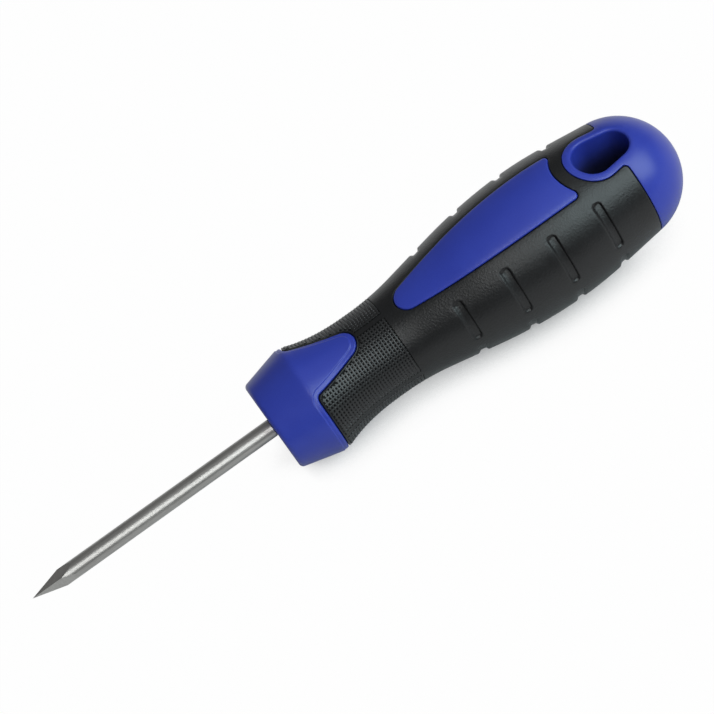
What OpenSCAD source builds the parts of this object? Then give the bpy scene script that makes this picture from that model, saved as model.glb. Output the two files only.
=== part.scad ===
// Bradawl: a round blade with a four-sided point, in a moulded handle.
// X runs along the tool, from the point (-X) to the butt (+X). Z is up, through the middle of an inlay.
// The origin is on the axis, where the blade leaves the collar.

/* [Blade] */
// Diameter of the round bar
blade_d = 4; // [3:0.1:6]
// Length of the blade outside the handle, point included
blade_reach = 61.4; // [40:0.2:90]
// Length of the four flats that make the point
point_len = 10.7; // [7:0.1:18]
// Turn of the flats about the bar, from the panel side, in degrees
point_turn = 77.8; // [0:0.1:90]
// Diameter of the tang inside the handle
tang_d = 3.6; // [2.4:0.1:4.4]
// Length of the tang inside the handle
tang_len = 58; // [44:1:68]
// Width of the wings pressed out of the tang
wing_w = 8; // [6:0.2:10]
// Thickness of the wings
wing_t = 1.6; // [1.2:0.1:2.2]
// Length of the wings along the tang
wing_len = 7; // [4:0.5:12]
// Plain end of the tang behind the wings
wing_tail = 6; // [3:0.5:12]

/* [Collar] */
// Length of the collar's cone
collar_len = 10.8; // [8:0.1:14]
// Diameter of the cone at the blade end, before its edge is rounded
collar_front_d = 20.7; // [18:0.1:22]
// Diameter of the cone at the grip end, before its edge is rounded
collar_rear_d = 26.2; // [24:0.1:28]
// Rounding of the edge at the blade end
collar_front_round = 1.1; // [0.5:0.1:2]
// Rounding of the edge at the grip end
collar_rear_round = 0.8; // [0.4:0.1:1.4]
// Wall at the blade end, in front of the core's nose
collar_wall = 4; // [2.5:0.1:5.5]
// Width of each tongue where it leaves the collar
tongue_w = 14.1; // [11:0.1:16]
// Length of each tongue behind the collar
tongue_len = 13.6; // [10:0.1:18]
// Radius of the tongue's round tip
tongue_tip_r = 3.3; // [2.5:0.1:4.5]
// Radius of the hollow corners where a tongue leaves the collar
tongue_root_r = 1.7; // [0.8:0.1:2.4]
// Height of a tongue above the grip
tongue_proud = 0.2; // [0.1:0.05:0.5]
// Softness of the ridge between the cone and a tongue
ridge_blend = 0.5; // [0.2:0.1:1]

/* [Grip] */
// Diameter of the grip's front lip
lip_d = 25.3; // [23:0.1:26]
// Rounding of the lip
lip_round = 0.6; // [0.3:0.1:1]
// Diameter of the waist
waist_d = 20.6; // [18:0.2:23]
// Distance from the collar back to the waist
waist_back = 16; // [13:0.2:20]
// Diameter of the belly
belly_d = 31.2; // [27:0.1:35]
// Distance from the waist back to the belly
swell_len = 43.6; // [38:0.2:52]
// Distance from the belly back to the end cap
tail_len = 20.3; // [17:0.1:26]
// Share of the belly's diameter that is left where the grip meets the end cap
joint_share = 0.88; // [0.8:0.01:0.96]
// Wall of the sleeve
grip_wall = 2; // [1.5:0.1:2.5]
// Gap between neighbouring pieces of the handle
seam_gap = 0.1; // [0.05:0.01:0.2]

/* [Finger slots] */
// Number of slots in a row
slot_count = 4; // [2:1:5]
// Distance between slots along a row
slot_pitch = 11.6; // [7:0.1:13]
// Distance from the waist back to the first slot
slot_back = 18.7; // [14:0.1:22]
// Width of a slot
slot_w = 2.1; // [1.2:0.1:3]
// Depth of a slot
slot_depth = 0.55; // [0.3:0.05:1]
// Rounding of a slot's corners
slot_end_r = 0.8; // [0.3:0.05:0.95]
// Length of a slot as an angle about the axis, in degrees
slot_span = 46; // [30:1:54]
// Turn of the slot rows from the middle of an inlay, in degrees
slot_turn = 60; // [54:1:64]

/* [Inlays] */
// Length of an inlay in front of the belly
inlay_reach = 35.1; // [28:0.1:38]
// Width of an inlay
inlay_w = 13.4; // [10:0.1:15]
// Radius of an inlay's round front end
inlay_nose_r = 3.2; // [2:0.1:4]
// Rounding of an inlay's rear corners
inlay_corner_r = 1; // [0.5:0.1:1.5]
// Height of an inlay above the grip
inlay_proud = 0.1; // [0.05:0.05:0.3]
// Diameter of the pegs under an inlay
peg_d = 3; // [2:0.1:4]
// Length of the pegs
peg_len = 3.5; // [2:0.1:4]
// Distance between the two pegs
peg_spacing = 22; // [16:0.5:26]

/* [End cap] */
// Length of the dome
dome_len = 12.3; // [10:0.1:13.5]
// Width of the hanging hole at its front end
hole_w = 8.8; // [6:0.1:10]
// Width of the hanging hole at its rear end
hole_rear_w = 7.2; // [5:0.1:8]
// Length of the hanging hole
hole_len = 12.6; // [11:0.1:16]
// Distance from the hole back to the end of the butt
hole_back = 8.6; // [6:0.1:10]
// Wall of the eye round the hole
eye_wall = 1.9; // [1.2:0.1:2.5]
// Strip of grip between the eye and an inlay
eye_band = 3; // [2:0.1:4]
// Radius of the hollow corners where the eye joins the dome
eye_root_r = 1; // [0.5:0.1:1.5]
// Wall of the cap in front of the hole
plug_wall = 6; // [5:0.1:7]

/* [Core] */
// Diameter of the nose that carries the collar
nose_d = 15; // [12:0.1:16]
// Width across the nose's two flats
nose_flats = 11; // [9:0.1:12]
// Diameter of the spigot that carries the end cap
spigot_d = 14; // [10:0.1:16]
// Width across the spigot's two flats
spigot_flats = 10; // [8:0.1:11]
// Length of the spigot
spigot_len = 3; // [2:0.1:3.5]

/* [Hidden] */

steel = [0.72, 0.73, 0.75];
blue = [0.16, 0.19, 0.62];
black = [0.13, 0.14, 0.15];
core_grey = [0.55, 0.56, 0.58];

// Power of the hollow's curve: a higher one keeps more of it close to the waist
hollow_power = 2.6;
// Shares of the way from waist to belly where the swell's straight flank starts and ends
flank_shares = [0.26, 0.51];
// Length of one band of a turned curve
band_len = 3;
// Length by which a cut runs past what it cuts
overrun = 1;
round_fn = 96;
outline_fn = 48;
corner_steps = 5;
dome_steps = 12;

lip_x = collar_len + seam_gap;
waist_x = collar_len + waist_back;
belly_x = waist_x + swell_len;
joint_x = belly_x + tail_len;
joint_d = belly_d * joint_share;
butt_x = joint_x + dome_len;
slot_rows = [slot_turn, 180 - slot_turn, 180 + slot_turn, -slot_turn];

// The dome is part of a sphere through the joint's edge and the butt
dome_r = (pow(joint_d / 2, 2) + pow(dome_len, 2)) / (2 * dome_len);
dome_x = butt_x - dome_r;
joint_slope = (dome_x - joint_x) / (joint_d / 2);

cone_angle = atan((collar_rear_d - collar_front_d) / (2 * collar_len));
tongue_start = collar_len - 2 * collar_rear_round;
tongue_tip_x = collar_len + tongue_len;

hole_rear_x = butt_x - hole_back - hole_rear_w / 2;
hole_front_x = butt_x - hole_back - hole_len + hole_w / 2;
eye_r = hole_w / 2 + eye_wall;
core_end_x = hole_front_x - hole_w / 2 - plug_wall;
core_inset = grip_wall + seam_gap;
peg_places = [belly_x - peg_spacing, belly_x];

// The long sides of an inlay are arcs that are fullest at the belly and run on into the round front end
nose_x = belly_x - inlay_reach + inlay_nose_r;
side_run = belly_x - nose_x;
side_r = (pow(side_run, 2) + pow(inlay_w / 2, 2) - pow(inlay_nose_r, 2)) / (inlay_w - 2 * inlay_nose_r);
side_start_x = nose_x - inlay_nose_r * side_run / (side_r - inlay_nose_r);

// Sine and cosine of the taper of the hanging hole's sides
hole_lean = (hole_w - hole_rear_w) / 2 / (hole_rear_x - hole_front_x);
hole_rise = sqrt(1 - pow(hole_lean, 2));

function mix(a, b, t) = a + (b - a) * t;
function ease(t) = t * t * (3 - 2 * t);
// Rise from 0 to 1 with a straight middle and a round start and end
function flank(t) =
    let (a = flank_shares[0], b = flank_shares[1], slope = 2 / (1 + b - a))
    t < a ? slope * t * t / (2 * a) : t < b ? slope * (t - a / 2) : 1 - slope * pow(1 - t, 2) / (2 - 2 * b);
function flip(list) = [for (i = [len(list) - 1:-1:0]) list[i]];
function soft_min(a, b, blend) = (a + b - sqrt(pow(a - b, 2) + pow(blend, 2))) / 2;

// Radius of the grip along X: a hollow from lip to waist, a swell to the belly and a tail to the cap
function hollow_r(x) =
    waist_d / 2 + (lip_d - waist_d) / 2 * pow((waist_x - x) / (waist_x - lip_x), hollow_power);
function swell_r(x) = mix(waist_d / 2, belly_d / 2, flank((x - waist_x) / swell_len));
function tail_r(x) =
    let (t = (x - belly_x) / tail_len)
    mix(belly_d / 2, joint_d / 2, ease(t)) + joint_slope * tail_len * t * t * (t - 1);
function handle_r(x) = x < waist_x ? hollow_r(x) : x < belly_x ? swell_r(x) : tail_r(x);

function side_y(x) = inlay_w / 2 - side_r + sqrt(pow(side_r, 2) - pow(x - belly_x, 2));

function cone_r(x) = mix(collar_front_d, collar_rear_d, x / collar_len) / 2;
function tongue_r(x) = soft_min(cone_r(x), handle_r(x) + tongue_proud, ridge_blend);

// Places along X, no further apart than one band
function stations(x0, x1) =
    let (n = ceil((x1 - x0) / band_len))
    [for (i = [0:n]) mix(x0, x1, i / n)];

// Points [radius, x] of the grip's curve, set in by inset
function grip_curve(x0, x1, inset) = [for (x = stations(x0, x1)) [handle_r(x) - inset, x]];

function dome_curve() =
    let (start = asin((joint_x - dome_x) / dome_r))
    [for (i = [1:dome_steps]) let (a = mix(start, 90, i / dome_steps))
        [dome_r * cos(a), dome_x + dome_r * sin(a)]];

// Round corner on the cone, centred at x, from angle a0 to a1
function cone_corner(x, r, a0, a1) =
    let (centre = cone_r(x) - r / cos(cone_angle))
    [for (i = [0:corner_steps]) let (a = mix(a0, a1, i / corner_steps))
        [centre + r * sin(a), x + r * cos(a)]];

// Solid of revolution about X from points [radius, x]
module turned(points) {
    rotate([0, 90, 0])
        rotate_extrude($fn = round_fn)
            polygon(points);
}

// Layer of the handle between two depths below the grip's surface
module layer(x0, x1, top, bottom) {
    turned(concat(grip_curve(x0, x1, top), flip(grip_curve(x0, x1, bottom))));
}

// Outline in the XY plane, cut right through the handle along Z
module through() {
    linear_extrude(height = belly_d + 2 * overrun, center = true)
        children();
}

// Rod along X
module rod(x0, x1, d) {
    translate([x0, 0, 0])
        rotate([0, 90, 0])
            cylinder(d = d, h = x1 - x0, $fn = round_fn);
}

// Round post along X with two flats, which keep what sits on it from turning
module keyed_post(x0, x1, d, flats) {
    intersection() {
        rod(x0, x1, d);
        translate([x0 - overrun, -d, -flats / 2])
            cube([x1 - x0 + 2 * overrun, 2 * d, flats]);
    }
}

module tang(grow) {
    wing_x = tang_len - wing_tail - wing_len / 2;
    rod(0, tang_len + grow, tang_d + 2 * grow);
    translate([wing_x, 0, 0])
        cube([wing_len + 2 * grow, wing_w + 2 * grow, wing_t + 2 * grow], center = true);
}

// One flat of the point, as the wedge that is ground away
module point_grind() {
    rotate([0, -atan(blade_d / 2 / point_len), 0])
        translate([-point_len, -blade_d, 0])
            cube([3 * point_len, 2 * blade_d, 2 * blade_d]);
}

module tongue_outline(grow) {
    offset(delta = grow)
        offset(r = -tongue_root_r, $fn = outline_fn)
            offset(delta = tongue_root_r) {
                hull() {
                    translate([tongue_tip_x - tongue_tip_r, 0])
                        circle(r = tongue_tip_r, $fn = outline_fn);
                    translate([tongue_start, -tongue_w / 2])
                        square([collar_len - tongue_start, tongue_w]);
                }
                translate([tongue_start, -tongue_w / 2 - tongue_root_r])
                    square([collar_len - tongue_start, tongue_w + 2 * tongue_root_r]);
            }
}

// Round nose and two long arcs, hollowed at the rear round the eye
module inlay_outline(grow) {
    side = [for (x = stations(side_start_x, hole_front_x)) [x, side_y(x)]];
    offset(r = inlay_corner_r + grow, $fn = outline_fn)
        offset(delta = -inlay_corner_r)
            difference() {
                union() {
                    translate([nose_x, 0])
                        circle(r = inlay_nose_r, $fn = outline_fn);
                    polygon(concat(side, [for (p = flip(side)) [p[0], -p[1]]]));
                }
                translate([hole_front_x, 0])
                    circle(r = eye_r + eye_band, $fn = 2 * outline_fn);
                translate([hole_front_x, -inlay_w])
                    square([inlay_reach, 2 * inlay_w]);
            }
}

// Two round ends of the hanging hole and the straight sides that touch them both
module hole_outline(grow) {
    ends = [[hole_front_x, hole_w / 2], [hole_rear_x, hole_rear_w / 2]];
    side = [for (e = ends) [e[0] + e[1] * hole_lean, e[1] * hole_rise]];
    offset(r = grow, $fn = 2 * outline_fn) {
        polygon(concat(side, [for (p = flip(side)) [p[0], -p[1]]]));
        for (e = ends)
            translate([e[0], 0])
                circle(r = e[1], $fn = 2 * outline_fn);
    }
}

// The eye's wall and, behind the joint, the whole width of the dome
module cap_outline(grow) {
    offset(delta = grow)
        offset(r = -eye_root_r, $fn = outline_fn)
            offset(delta = eye_root_r) {
                hole_outline(eye_wall);
                translate([joint_x, -belly_d])
                    square([dome_len + overrun, 2 * belly_d]);
            }
}

module finger_slots() {
    intersection() {
        layer(waist_x, joint_x, -overrun, slot_depth);
        for (turn = slot_rows, i = [0:slot_count - 1]) {
            x = waist_x + slot_back + i * slot_pitch;
            slot_len = 2 * handle_r(x) * sin(slot_span / 2);
            rotate([turn, 0, 0])
                translate([x, 0, 0])
                    linear_extrude(height = belly_d)
                        offset(r = slot_end_r, $fn = outline_fn / 2)
                            square([slot_w - 2 * slot_end_r, slot_len - 2 * slot_end_r], center = true);
        }
    }
}

// Pegs under the upper inlay
module inlay_pegs(grow) {
    for (x = peg_places) {
        seat = handle_r(x) - grip_wall;
        translate([x, 0, seat - peg_len - grow])
            cylinder(d = peg_d + 2 * grow, h = peg_len + grow + grip_wall / 2, $fn = round_fn);
    }
}

module panel_inlay() {
    intersection() {
        layer(belly_x - inlay_reach - overrun, joint_x, -inlay_proud, grip_wall);
        linear_extrude(height = belly_d)
            inlay_outline(0);
    }
    inlay_pegs(0);
}

module blade() {
    color(steel) {
        difference() {
            rod(-blade_reach - overrun, 0, blade_d);
            for (k = [0:3])
                translate([-blade_reach, 0, 0])
                    rotate([point_turn + 90 * k, 0, 0])
                        point_grind();
        }
        tang(0);
    }
}

module handle_core() {
    core_curve = grip_curve(lip_x, core_end_x, core_inset);
    color(core_grey)
        difference() {
            union() {
                turned(concat([[0, lip_x]], core_curve, [[0, core_end_x]]));
                keyed_post(collar_wall + seam_gap, lip_x + overrun, nose_d, nose_flats);
                keyed_post(core_end_x - overrun, core_end_x + spigot_len, spigot_d, spigot_flats);
            }
            tang(seam_gap);
            for (turn = [0, 180])
                rotate([turn, 0, 0])
                    inlay_pegs(seam_gap);
        }
}

module front_collar() {
    rear = collar_len - collar_rear_round;
    front_corner = cone_corner(collar_front_round, collar_front_round, 180, 90 + cone_angle);
    rear_corner = cone_corner(rear, collar_rear_round, 90 + cone_angle, 0);
    tongue_places = stations(tongue_start, tongue_tip_x + overrun);
    color(blue)
        difference() {
            union() {
                turned(concat([[0, 0]], front_corner, rear_corner, [[0, collar_len]]));
                intersection() {
                    turned(concat(
                        [for (x = tongue_places) [tongue_r(x), x]],
                        flip([for (x = tongue_places) [handle_r(x) - grip_wall, x]])
                    ));
                    through()
                        tongue_outline(0);
                }
            }
            rod(-overrun, collar_len, tang_d + 2 * seam_gap);
            keyed_post(collar_wall, collar_len + overrun, nose_d + 2 * seam_gap, nose_flats + 2 * seam_gap);
        }
}

module grip_sleeve() {
    lip_arc = [for (i = [0:corner_steps]) let (a = mix(180, 90, i / corner_steps))
        [handle_r(lip_x + lip_round) - lip_round * (1 - sin(a)), lip_x + lip_round * (1 + cos(a))]];
    outside = grip_curve(lip_x + lip_round + lip_round, joint_x, 0);
    color(black)
        difference() {
            turned(concat(lip_arc, outside, flip(grip_curve(lip_x, joint_x, grip_wall))));
            through()
                tongue_outline(seam_gap);
            through()
                inlay_outline(seam_gap);
            through()
                cap_outline(seam_gap);
            finger_slots();
        }
}

module panel_inlay_top() {
    color(blue)
        panel_inlay();
}

module panel_inlay_back() {
    color(blue)
        rotate([180, 0, 0])
            panel_inlay();
}

module end_cap() {
    eye_start = hole_front_x - eye_r - overrun;
    plug_x = core_end_x + seam_gap;
    outside = concat(grip_curve(eye_start, joint_x, 0), dome_curve());
    plug = grip_curve(plug_x, joint_x, core_inset);
    color(blue)
        difference() {
            union() {
                intersection() {
                    turned(concat([[0, eye_start]], outside));
                    through()
                        cap_outline(0);
                }
                turned(concat([[0, plug_x]], plug, [[0, joint_x]]));
            }
            through()
                hole_outline(0);
            keyed_post(
                core_end_x, core_end_x + spigot_len + seam_gap,
                spigot_d + 2 * seam_gap, spigot_flats + 2 * seam_gap
            );
        }
}

blade();
handle_core();
front_collar();
grip_sleeve();
panel_inlay_top();
panel_inlay_back();
end_cap();
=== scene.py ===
"""Bradawl dressed over its CAD frame: ground blade, moulded collar, soft grip, two inlays and a domed end cap.

Shapes are worked out in millimetres in the frame's own axes: +X runs to the butt, +Z through the upper inlay,
and the origin is where the blade leaves the collar. A place on the handle is a pair of its X and its turn about
the axis, in radians from the middle of an inlay, and the handle is the same in all four quarters.
"""

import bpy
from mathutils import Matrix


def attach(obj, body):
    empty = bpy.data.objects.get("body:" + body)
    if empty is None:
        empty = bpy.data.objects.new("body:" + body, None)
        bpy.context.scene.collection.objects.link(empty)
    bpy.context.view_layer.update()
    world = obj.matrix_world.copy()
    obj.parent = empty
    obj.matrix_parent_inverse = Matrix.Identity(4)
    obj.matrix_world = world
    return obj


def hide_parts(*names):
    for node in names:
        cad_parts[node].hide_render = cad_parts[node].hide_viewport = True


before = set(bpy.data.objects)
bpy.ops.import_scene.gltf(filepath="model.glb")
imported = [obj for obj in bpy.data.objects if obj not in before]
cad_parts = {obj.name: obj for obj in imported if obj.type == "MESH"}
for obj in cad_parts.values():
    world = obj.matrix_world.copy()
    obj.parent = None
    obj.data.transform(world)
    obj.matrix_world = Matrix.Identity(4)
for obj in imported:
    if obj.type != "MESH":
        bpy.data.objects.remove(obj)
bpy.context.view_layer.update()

import logging
import math
from dataclasses import dataclass, field
from enum import Enum
from functools import partialmethod
from typing import Callable

import bmesh
import bpy
import numpy as np
from mathutils import Matrix, Vector, geometry

LOG = logging.getLogger("bradawl")
Array = np.ndarray
Radius = Callable[[Array], Array]
Pair = tuple[float, float]
Triple = tuple[float, float, float]
Socket = bpy.types.NodeSocket
MM = 0.001
QUARTER = math.pi / 2
TINY = 1e-5  # mm apart that count as one place on a net
WELD = 2e-6  # m apart at which the vertices of a mesh become one


class Slot(Enum):
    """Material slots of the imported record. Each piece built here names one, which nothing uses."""

    STEEL = "blade_steel"
    BLUE = "blue_plastic"
    GRIP = "black_grip"


class Mark(Enum):
    """Attributes that a mesh carries for its finish and its knurl."""

    ROOM = "knurl_room"
    # Marks where a finish paints shade: under the knurl and down the hanging hole
    RECESS = "recess"


class Side(Enum):
    """Side of the handle that an inlay lies on, as the sign of its Z."""

    TOP = 1
    BACK = -1


# Flat geometry: lines and nets over [x, turn]


def arc(centre: Pair, r: float, start: float, end: float, step: float) -> Array:
    """Points along an arc.

    Args:
        centre: Middle of the arc.
        r: Radius.
        start: First angle in degrees.
        end: Last angle in degrees.
        step: Longest distance between points.

    Returns:
        Rows of [x, y], both ends included.
    """
    count = max(2, math.ceil(abs(math.radians(end - start)) * r / step))
    angle = np.radians(np.linspace(start, end, count + 1))
    return np.stack([centre[0] + r * np.cos(angle), centre[1] + r * np.sin(angle)], 1)


def densify(points: Array, step: float) -> Array:
    """Divides the long stretches of a line.

    Args:
        points: Rows of [x, y].
        step: Longest distance left between points.

    Returns:
        The same line with more rows and without doubled ones.
    """
    rows = [points[:1]]
    for a, b in zip(points, points[1:]):
        length = float(np.hypot(*(b - a)))
        if length > TINY / 10:
            count = max(1, math.ceil(length / step))
            rows.append(a + (b - a) * np.linspace(0, 1, count + 1)[1:, None])
    return np.concatenate(rows)


def across(run: float, turns: Array) -> Array:
    """Line round the handle at one run, as rows of [run, turn]."""
    return np.stack([np.full_like(turns, run), turns], 1)


def shift(line: Array, by: float, radius: Radius) -> Array:
    """Moves a line sideways over the handle. Both its ends stay on the planes that the handle is mirrored in.

    Args:
        line: Rows of [run, turn].
        by: Distance to the left of the line's course.
        radius: Radius of the handle at a run.

    Returns:
        The moved rows.
    """
    r = radius(line[:, 0])
    along, around = np.gradient(line[:, 0]), np.gradient(line[:, 1]) * r
    along[[0, -1]] = 0
    size = np.hypot(along, around)
    return np.stack([line[:, 0] - by * around / size, line[:, 1] + by * along / size / r], 1)


def distance(points: Array, line: Array, radius: Radius) -> tuple[Array, Array]:
    """Distance over the handle from points to a line.

    Args:
        points: Rows of [run, turn].
        line: Rows of [run, turn].
        radius: Radius of the handle at a run.

    Returns:
        The distance of each point, and the number of the line's nearest stretch.
    """
    r = radius(points[:, 0])[:, None]
    ax, at = line[:-1, 0] - points[:, :1], (line[:-1, 1] - points[:, 1:]) * r
    dx, dt = np.diff(line[:, 0])[None], np.diff(line[:, 1])[None] * r
    share = np.clip(-(ax * dx + at * dt) / (dx * dx + dt * dt), 0, 1)
    gap = np.hypot(ax + share * dx, at + share * dt)
    return gap.min(1), gap.argmin(1)


def inside(points: Array, outline: Array) -> Array:
    """Tells which points lie in a closed outline.

    Args:
        points: Rows of two numbers.
        outline: Rows of two numbers, closed from the last to the first.

    Returns:
        True for each point inside.
    """
    x, y = points[:, :1], points[:, 1:]
    (x0, y0), (x1, y1) = outline.T, np.roll(outline, -1, 0).T
    rise = np.where(y1 == y0, 1, y1 - y0)
    crosses = ((y0 <= y) != (y1 <= y)) & (x < x0 + (y - y0) / rise * (x1 - x0))
    return crosses.sum(1) % 2 == 1


def smooth(low: float, high: float, value: Array) -> Array:
    """Eases from 0 at low to 1 at high."""
    t = np.clip((value - low) / (high - low), 0, 1)
    return t * t * (3 - 2 * t)


@dataclass(frozen=True)
class EdgeRound:
    """Rounded edge of a moulded piece: a quarter of an ellipse.

    Attributes:
        width: How far the rounding reaches in from the edge.
        depth: How far the surface has dropped at the edge.
        shares: Parts of the width at which the net needs a line.
    """

    width: float
    depth: float
    shares: tuple[float, ...] = (0, 0.03, 0.1, 0.22, 0.4, 0.66, 1)

    def drop(self, gap: Array) -> Array:
        """Drop of the surface at a distance from the edge."""
        t = 1 - np.clip(gap / self.width, 0, 1)
        return self.depth * (1 - np.sqrt(1 - t * t))

    def rows(self) -> list[float]:
        """Distances from the edge at which the net needs a line."""
        return [self.width * share for share in self.shares]


class Curve:
    """Curve that a piece is turned from. The run of a place on it is its length up to there.

    Attributes:
        x: X of its places.
        r: Their distance from the axis.
        run: Their run.
    """

    def __init__(self, x: Array, r: Array) -> None:
        """Measures the curve."""
        self.x, self.r = x, r
        self.run = np.concatenate([[0.0], np.cumsum(np.hypot(np.diff(x), np.diff(r)))])

    def radius(self, run: Array) -> Array:
        """Distance from the axis at a run."""
        return np.interp(run, self.run, self.r)

    def reach(self, run: Array) -> Array:
        """X at a run."""
        return np.interp(run, self.run, self.x)

    def along(self, line: Array, first: int = 0) -> Array:
        """Turns rows of [x, turn] into rows of [run, turn], on the curve from its place of that number on."""
        return np.stack([np.interp(line[:, 0], self.x[first:], self.run[first:]), line[:, 1]], 1)


class Net:
    """Flat net of triangles over one quarter of the handle.

    Attributes:
        CLEAR: Room that a line needs, in steps of the filling.
        STAGGER: Where the points of even and odd rows of the filling lie, in steps.
        BLOCK: How many points of the lines are compared with the filling at once.
        flat: Rows of [run, turn].
        triangles: Rows of three numbers of flat, turned so that they face outwards.
    """

    CLEAR = 0.55
    STAGGER = (0.25, 0.75)
    BLOCK = 300

    def __init__(self, lines: list[Array], ends: Pair, step: float, scale: float) -> None:
        """Joins lines and a filling of even points into triangles.

        Args:
            lines: Lines of [run, turn] that stay as edges of the net.
            ends: First and last run.
            step: Distance between the points of the filling.
            scale: Radius at which a turn is laid out flat.
        """
        self.ends = ends
        runs = np.linspace(*ends, math.ceil((ends[1] - ends[0]) / step) + 1)
        turns = np.linspace(0, QUARTER, math.ceil(QUARTER * scale / step) + 1)
        border = [np.stack([runs, np.full_like(runs, t)], 1) for t in (0, QUARTER)]
        border += [across(x, turns) for x in ends]
        pitch = turns[1] - turns[0]
        fill = [across(x, turns[:-1] + pitch * self.STAGGER[i % 2]) for i, x in enumerate(runs[1:-1])]
        flat = [line * [1, scale] for line in [*lines, *border]]
        points, edges = self._with_fill(flat, np.concatenate(fill) * [1, scale], self.CLEAR * step)
        verts, _, faces, *_ = geometry.delaunay_2d_cdt([Vector(p) for p in points], edges, [], 0, TINY)
        self.flat = np.array([v[:] for v in verts]) / [1, scale]
        self.flat[self.flat[:, 1] < TINY, 1] = 0
        self.flat[self.flat[:, 1] > QUARTER - TINY, 1] = QUARTER
        triangles = np.array(faces)
        turn = self.flat[triangles, 1]
        off_mirror = (turn[:, 0] > 0) & (turn[:, 0] < QUARTER)
        self.triangles = triangles[(np.ptp(turn, axis=1) > 0) | off_mirror]

    def _with_fill(self, lines: list[Array], fill: Array, clear: float) -> tuple[Array, list[tuple[int, int]]]:
        """Adds the filling where it isn't too close to a line.

        Args:
            lines: Lines in flat millimetres.
            fill: Points in flat millimetres.
            clear: Room that a line needs.

        Returns:
            All points, and the edges of the lines.
        """
        fixed = np.concatenate(lines)
        keep = np.ones(len(fill), bool)
        for block in np.array_split(fixed, max(1, len(fixed) // self.BLOCK)):
            keep &= ((fill[:, None] - block[None]) ** 2).sum(2).min(1) > clear * clear
        edges, start = [], 0
        for line in lines:
            edges += [(start + i, start + i + 1) for i in range(len(line) - 1)]
            start += len(line)
        return np.concatenate([fixed, fill[keep]]), edges

    def middles(self) -> Array:
        """Middle of each triangle as [run, turn]."""
        return self.flat[self.triangles].mean(1)

    def rim(self, triangles: Array) -> Array:
        """Finds the free edges of some of the triangles, apart from those on the mirror planes.

        Args:
            triangles: Rows of the net's triangles.

        Returns:
            Rows of two numbers of flat, in the course of their triangle.
        """
        edges = np.concatenate([triangles[:, [0, 1]], triangles[:, [1, 2]], triangles[:, [2, 0]]])
        known = {(a, b) for a, b in edges.tolist()}
        free = np.array([e for e in edges.tolist() if (e[1], e[0]) not in known])
        turn = self.flat[free, 1]
        on_mirror = (turn == 0).all(1) | (turn == QUARTER).all(1)
        return free[~on_mirror]


def round_about(run_x: Array, r: Array, turn: Array) -> Array:
    """Places points on the handle.

    Args:
        run_x: X of each point.
        r: Distance of each from the axis.
        turn: Turn of each from the middle of the upper inlay.

    Returns:
        Rows of [x, y, z] in millimetres.
    """
    return np.stack([run_x, r * np.sin(turn), r * np.cos(turn)], 1)


class Solid:
    """Closed mesh that grows from one quarter of the handle.

    Attributes:
        SHARP: Angle in degrees from which an edge looks sharp.
        verts: Vertices in millimetres.
        faces: Rows of numbers of vertices.
        count: How many vertices there are.
    """

    SHARP = 38

    def __init__(self) -> None:
        """Starts with nothing."""
        self.verts: list[Array] = []
        self.faces: list[list[int]] = []
        self.count = 0

    def add(self, verts: Array) -> int:
        """Adds vertices.

        Args:
            verts: Rows of [x, y, z] in millimetres.

        Returns:
            The number of the first.
        """
        first = self.count
        self.verts.append(verts)
        self.count += len(verts)
        return first

    def skin(self, triangles: Array, first: int, turned: bool = False) -> None:
        """Adds triangles on vertices from first on, facing inwards if turned."""
        self.faces += (triangles[:, ::-1 if turned else 1] + first).tolist()

    def wall(self, rim: Array, upper: int, lower: int) -> None:
        """Joins a rim on one set of vertices to the same rim on another."""
        self.faces += [[b + upper, a + upper, a + lower, b + lower] for a, b in rim.tolist()]

    def shell(self, net: Net, kept: Array, outer: Array, inner: Array) -> None:
        """Adds a shell with closed edges.

        Args:
            net: Flat net.
            kept: Triangles of the net that the shell covers.
            outer: Places of the net's points on the outside, in millimetres.
            inner: Their places on the inside.
        """
        upper, lower = self.add(outer), self.add(inner)
        self.skin(kept, upper)
        self.skin(kept, lower, turned=True)
        self.wall(net.rim(kept), upper, lower)

    def mesh(
        self, name: str, signs: list[tuple[int, int]], marks: dict[Mark, Array] | None = None
    ) -> bpy.types.Mesh:
        """Mirrors the quarter and merges the copies.

        Args:
            name: Name of the mesh.
            signs: Signs of Y and Z of each copy.
            marks: Attributes of the mesh, with a number for each vertex of the quarter.

        Returns:
            The mesh in metres.
        """
        quarter = np.concatenate(self.verts)
        verts = np.concatenate([quarter * [1, y, z] for y, z in signs]) * MM
        faces = []
        for i, (y, z) in enumerate(signs):
            faces += [[v + i * self.count for v in f[:: y * z]] for f in self.faces]
        mesh = bpy.data.meshes.new(name)
        mesh.from_pydata(verts.tolist(), [], faces)
        for mark, values in (marks or {}).items():
            layer = mesh.attributes.new(mark.value, "FLOAT", "POINT")
            layer.data.foreach_set("value", np.tile(values, len(signs)).astype(np.float32))
        grid = bmesh.new()
        grid.from_mesh(mesh)
        bmesh.ops.remove_doubles(grid, verts=grid.verts, dist=WELD)
        bmesh.ops.dissolve_degenerate(grid, edges=grid.edges, dist=WELD / 20)
        loose = [v for v in grid.verts if not v.link_faces]
        bmesh.ops.delete(grid, geom=loose, context="VERTS")
        grid.to_mesh(mesh)
        grid.free()
        mesh.shade_smooth()
        mesh.set_sharp_from_angle(angle=math.radians(self.SHARP))
        return mesh


ALL_QUARTERS = [(1, 1), (-1, 1), (1, -1), (-1, -1)]


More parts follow.
